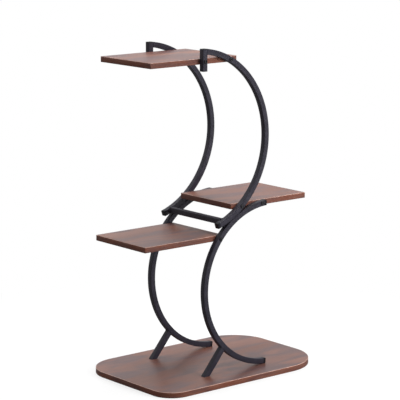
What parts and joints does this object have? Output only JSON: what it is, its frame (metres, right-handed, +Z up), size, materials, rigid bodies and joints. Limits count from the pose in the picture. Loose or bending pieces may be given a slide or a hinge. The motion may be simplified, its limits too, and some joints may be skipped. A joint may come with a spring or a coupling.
{
  "type": "tiered plant stand",
  "caption": "Tiered plant stand: brown laminated boards at stepped heights held between two S-shaped frames of bent black square tube on a wide base board.",
  "frame": {"origin": "on the floor, under the middle of the base board's length and depth", "axes": "+X along the base to the right, towards the lower arcs' open side; +Y to the back; +Z up"},
  "size_m": [0.608, 0.402, 0.9475],
  "materials": {
    "board": "dark walnut laminate, satin",
    "edge_band": "dark brown edge band, satin",
    "coated_tube": "black powder coat, satin",
    "cap_plastic": "black moulded plastic",
    "black_screw": "black oxide, satin",
    "zinc_steel": "zinc plated"
  },
  "bodies": {
    "root": {"base_board": "board", "left_shelf_board": "board", "right_shelf_board": "board", "top_shelf_board": "board", "base_edge_band": "edge_band", "left_shelf_edge_bands": "edge_band", "right_shelf_edge_bands": "edge_band", "top_shelf_edge_bands": "edge_band", "front_lower_arc": "coated_tube", "rear_lower_arc": "coated_tube", "front_upper_arc": "coated_tube", "rear_upper_arc": "coated_tube", "front_post": "coated_tube", "rear_post": "coated_tube", "front_brace": "coated_tube", "rear_brace": "coated_tube", "crossbar": "coated_tube", "arc_head_caps": "cap_plastic", "arc_foot_caps": "cap_plastic", "arc_tail_caps": "cap_plastic", "post_head_caps": "cap_plastic", "post_foot_caps": "cap_plastic", "left_shelf_screws": "black_screw", "right_shelf_screws": "black_screw", "top_shelf_screws": "black_screw", "base_screws": "black_screw", "left_shelf_inserts": "zinc_steel", "right_shelf_inserts": "zinc_steel", "top_shelf_inserts": "zinc_steel", "base_washers": "zinc_steel", "arc_rivet_nuts": "zinc_steel", "brace_foot_plates": "zinc_steel"}
  },
  "joints": []
}
